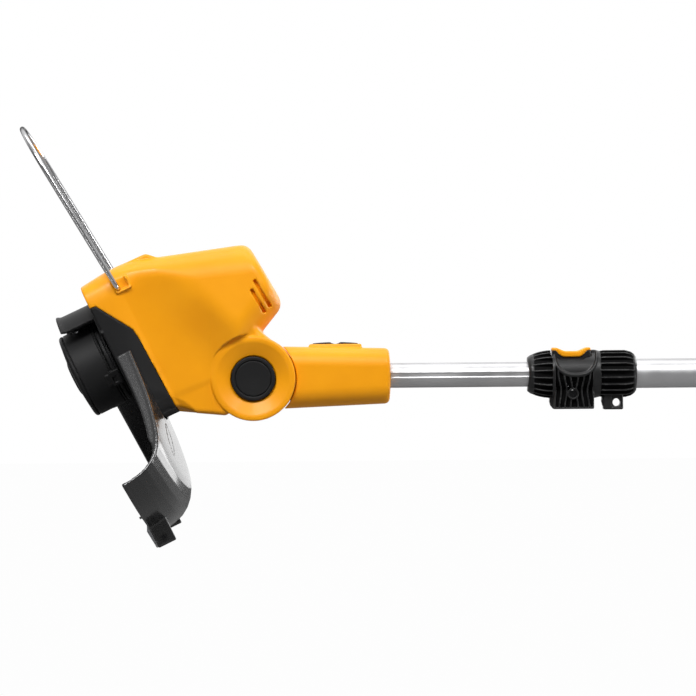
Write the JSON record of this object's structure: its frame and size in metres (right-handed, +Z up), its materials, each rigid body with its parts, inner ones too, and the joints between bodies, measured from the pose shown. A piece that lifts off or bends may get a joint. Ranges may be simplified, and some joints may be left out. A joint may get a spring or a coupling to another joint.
{
  "type": "string trimmer",
  "caption": "Battery string trimmer: line head with guard and wire bail on a tilting, swivelling housing, telescopic shaft with coupler, loop handle and rear grip.",
  "frame": {"origin": "centre of the strap eye, the hole through the lug under the shaft coupler", "axes": "+X along the shaft towards the user, +Y across the tool along the strap eye, +Z up with the shaft level"},
  "size_m": [1.2502, 0.2336, 0.3705],
  "materials": {
    "shell_yellow": "satin moulded",
    "black_plastic": "fine spark texture",
    "gloss_black": "glossy moulded",
    "coupler_black": "satin moulded",
    "tube_aluminium": "satin anodised",
    "chromed_wire": "chromed",
    "bright_steel": "ground",
    "brushed_steel": "brushed",
    "zinc_steel": "zinc plated",
    "black_steel": "blackened",
    "grey_nylon": "natural",
    "copper_winding": "enamelled",
    "grip_rubber": "soft moulded",
    "cutting_line": "extruded",
    "cell_wrap": "shrink wrap"
  },
  "bodies": {
    "shaft": {"upper_tube": "tube_aluminium", "glide_bush": "grey_nylon", "coupler_near": "coupler_black", "coupler_far": "coupler_black", "coupler_screw": "black_steel", "lock_springs": "bright_steel", "aux_clamp": "black_plastic", "handle_near": "shell_yellow", "handle_far": "shell_yellow", "handle_screws": "zinc_steel", "grip_pad": "grip_rubber", "switch": "black_plastic", "trigger_pin": "bright_steel", "battery_dock": "black_plastic"},
    "lower_shaft": {"lower_tube": "tube_aluminium", "swivel_bush": "grey_nylon", "tube_plug": "black_plastic"},
    "yoke": {"lock_yoke": "shell_yellow"},
    "socket": {"socket_near": "shell_yellow", "socket_far": "shell_yellow", "socket_screws": "zinc_steel", "rocker_pin": "bright_steel"},
    "rocker": {"swivel_rocker": "black_plastic"},
    "head": {"head_shell_near": "shell_yellow", "head_shell_far": "shell_yellow", "base_cover": "black_plastic", "guard": "gloss_black", "guard_screws": "zinc_steel", "line_cutter": "brushed_steel", "motor_can": "brushed_steel", "motor_endcap": "grey_nylon", "motor_bracket": "grey_nylon", "motor_screws": "zinc_steel", "shaft_bearings": "bright_steel", "head_screws": "zinc_steel", "hinge_axle": "bright_steel", "axle_cap": "black_plastic", "tilt_spring": "bright_steel"},
    "tilt_button": {"tilt_button": "black_plastic"},
    "wire": {"wire_guard": "chromed_wire"},
    "spool": {"rotor_shaft": "bright_steel", "rotor_core": "copper_winding", "fan": "grey_nylon", "spool_hub": "black_plastic", "spool_cap": "black_plastic", "line_eyelets": "bright_steel", "feed_spring": "bright_steel"},
    "bump": {"bump_knob": "black_plastic", "spool_reel": "grey_nylon", "line_coil": "cutting_line"},
    "aux_arm": {"aux_handle": "black_plastic", "aux_grip": "grip_rubber", "aux_bolt": "zinc_steel"},
    "aux_knob": {"aux_knob": "black_plastic"},
    "trigger": {"trigger": "black_plastic"},
    "lock_off": {"lock_off": "black_plastic"},
    "battery": {"battery_case": "black_plastic", "battery_lid": "black_plastic", "battery_cells": "cell_wrap"},
    "battery_latch": {"battery_latch": "shell_yellow"}
  },
  "joints": [
    {"name": "telescope", "type": "slide", "parent": "shaft", "child": "lower_shaft", "axis": [1, 0, 0], "range_m": [-0.12, 0.11]},
    {"name": "coupler_button", "type": "slide", "parent": "shaft", "child": "yoke", "axis": [0, 0, -1], "range_m": [0, 0.0035], "stiffness_N_per_m": 1500, "springref_m": -0.002, "deforming": ["lock_springs"]},
    {"name": "head_swivel", "type": "hinge", "parent": "lower_shaft", "child": "socket", "pos_m": [-0.232, 0, 0.0254], "axis": [1, 0, 0], "range_deg": [0, 180]},
    {"name": "swivel_rocker", "type": "hinge", "parent": "socket", "child": "rocker", "pos_m": [-0.2495, 0, 0.0508], "axis": [0, 1, 0], "range_deg": [-4, 4], "stiffness_Nm_per_rad": 0.4},
    {"name": "head_tilt", "type": "hinge", "parent": "socket", "child": "head", "pos_m": [-0.322, 0, 0.0239], "axis": [0, -1, 0], "range_deg": [0, 60]},
    {"name": "tilt_release", "type": "slide", "parent": "head", "child": "tilt_button", "axis": [0, 1, 0], "range_m": [0, 0.003], "stiffness_N_per_m": 900, "springref_m": -0.001, "deforming": ["tilt_spring"]},
    {"name": "wire_fold", "type": "hinge", "parent": "head", "child": "wire", "pos_m": [-0.43982, 0, 0.10418], "axis": [0, 1, 0], "range_deg": [0, 100]},
    {"name": "spool_spin", "type": "hinge", "parent": "head", "child": "spool", "pos_m": [-0.46691, 0, 0.03199], "axis": [0.8988, 0, 0.4384], "continuous": true},
    {"name": "bump_feed", "type": "slide", "parent": "spool", "child": "bump", "axis": [0.8988, 0, 0.4384], "range_m": [0, 0.0045], "stiffness_N_per_m": 1500, "springref_m": -0.002, "deforming": ["feed_spring"]},
    {"name": "aux_tilt", "type": "hinge", "parent": "shaft", "child": "aux_arm", "pos_m": [0.268, 0, 0.0524], "axis": [0, 1, 0], "range_deg": [-30, 40]},
    {"name": "aux_knob_turn", "type": "hinge", "parent": "aux_arm", "child": "aux_knob", "pos_m": [0.268, -0.036, 0.0524], "axis": [0, 1, 0], "continuous": true},
    {"name": "trigger_pull", "type": "hinge", "parent": "shaft", "child": "trigger", "pos_m": [0.514, 0, 0.0164], "axis": [0, -1, 0], "range_deg": [0, 6], "stiffness_Nm_per_rad": 0.8, "springref_deg": -5.73},
    {"name": "lock_off_press", "type": "slide", "parent": "shaft", "child": "lock_off", "axis": [0, 0, -1], "range_m": [0, 0.003], "stiffness_N_per_m": 500, "springref_m": -0.001},
    {"name": "battery_lift", "type": "slide", "parent": "shaft", "child": "battery", "axis": [0, 0, 1], "range_m": [0, 0.085]},
    {"name": "battery_latch_press", "type": "slide", "parent": "battery", "child": "battery_latch", "axis": [0, 0, -1], "range_m": [0, 0.0025], "stiffness_N_per_m": 500, "springref_m": -0.001}
  ]
}
